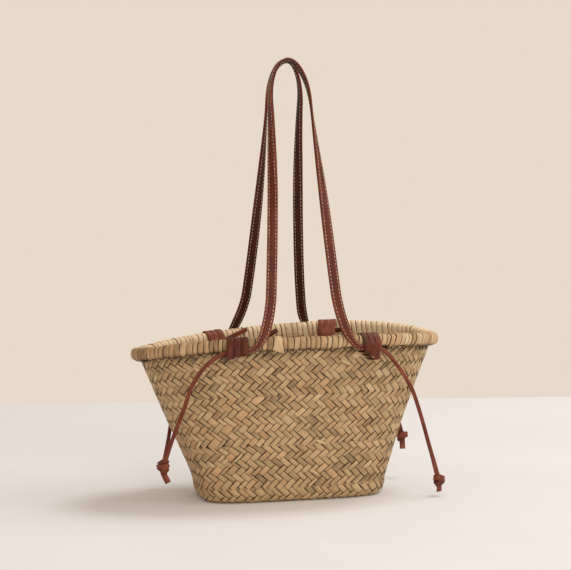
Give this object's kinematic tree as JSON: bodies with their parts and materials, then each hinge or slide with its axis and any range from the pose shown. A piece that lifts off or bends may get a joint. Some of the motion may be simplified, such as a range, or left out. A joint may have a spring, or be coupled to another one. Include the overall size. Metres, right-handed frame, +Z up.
{
  "type": "woven market basket",
  "caption": "Oval market basket of plaited palm leaf with a whipped rim, long stitched leather shoulder straps and knotted leather laces that tie them on.",
  "frame": {"origin": "middle of the base, on the surface the basket stands on", "axes": "+X along the basket's length, -Y towards its front, +Z up"},
  "size_m": [0.3994, 0.2202, 0.5564],
  "materials": {
    "plaited_leaf": "dry palm leaf, straw to khaki, satin",
    "whipping_leaf": "dry palm leaf, pale straw, satin",
    "leaf_twine": "twisted palm leaf, matt",
    "strap_leather": "smooth chestnut grain, satin",
    "strap_lining": "dark brown, matt to satin",
    "lace_leather": "reddish brown, waxed, satin",
    "thread": "cream waxed thread"
  },
  "bodies": {
    "basket": {"base_band": "plaited_leaf", "lower_wall_band": "plaited_leaf", "middle_wall_band": "plaited_leaf", "upper_wall_band": "plaited_leaf", "seam_twine": "leaf_twine", "rim_core": "leaf_twine", "rim_whipping": "whipping_leaf", "front_left_binding": "lace_leather", "front_right_binding": "lace_leather", "back_left_binding": "lace_leather", "back_right_binding": "lace_leather", "front_left_lace_end": "lace_leather", "front_right_lace_end": "lace_leather", "back_left_lace_end": "lace_leather", "back_right_lace_end": "lace_leather", "front_left_strap_end": "strap_leather", "front_right_strap_end": "strap_leather", "back_left_strap_end": "strap_leather", "back_right_strap_end": "strap_leather"},
    "front_strap": {"front_strap_face": "strap_leather", "front_strap_lining": "strap_lining", "front_strap_stitching": "thread"},
    "back_strap": {"back_strap_face": "strap_leather", "back_strap_lining": "strap_lining", "back_strap_stitching": "thread"},
    "front_left_tail": {"front_left_lace_tail": "lace_leather", "front_left_knot": "lace_leather"},
    "front_right_tail": {"front_right_lace_tail": "lace_leather", "front_right_knot": "lace_leather"},
    "back_left_tail": {"back_left_lace_tail": "lace_leather", "back_left_knot": "lace_leather"},
    "back_right_tail": {"back_right_lace_tail": "lace_leather", "back_right_knot": "lace_leather"}
  },
  "joints": [
    {"name": "front_strap_swing", "type": "hinge", "parent": "basket", "child": "front_strap", "pos_m": [0, -0.10746, 0.1915], "axis": [1, 0, 0], "range_deg": [0, 120]},
    {"name": "back_strap_swing", "type": "hinge", "parent": "basket", "child": "back_strap", "pos_m": [0, 0.10844, 0.1908], "axis": [-0.9982, 0, -0.0597], "range_deg": [0, 120]},
    {"name": "front_left_tail_swing", "type": "hinge", "parent": "basket", "child": "front_left_tail", "pos_m": [-0.095, -0.09815, 0.19334], "axis": [-0.9613, 0.2756, 0], "range_deg": [-12, 60]},
    {"name": "front_right_tail_swing", "type": "hinge", "parent": "basket", "child": "front_right_tail", "pos_m": [0.095, -0.09815, 0.19226], "axis": [-0.9613, -0.2756, 0], "range_deg": [-12, 60]},
    {"name": "back_left_tail_swing", "type": "hinge", "parent": "basket", "child": "back_left_tail", "pos_m": [-0.09, 0.09957, 0.18964], "axis": [0.9613, 0.2756, 0], "range_deg": [-12, 60]},
    {"name": "back_right_tail_swing", "type": "hinge", "parent": "basket", "child": "back_right_tail", "pos_m": [0.09, 0.09957, 0.20051], "axis": [0.9613, -0.2756, 0], "range_deg": [-12, 60]}
  ]
}
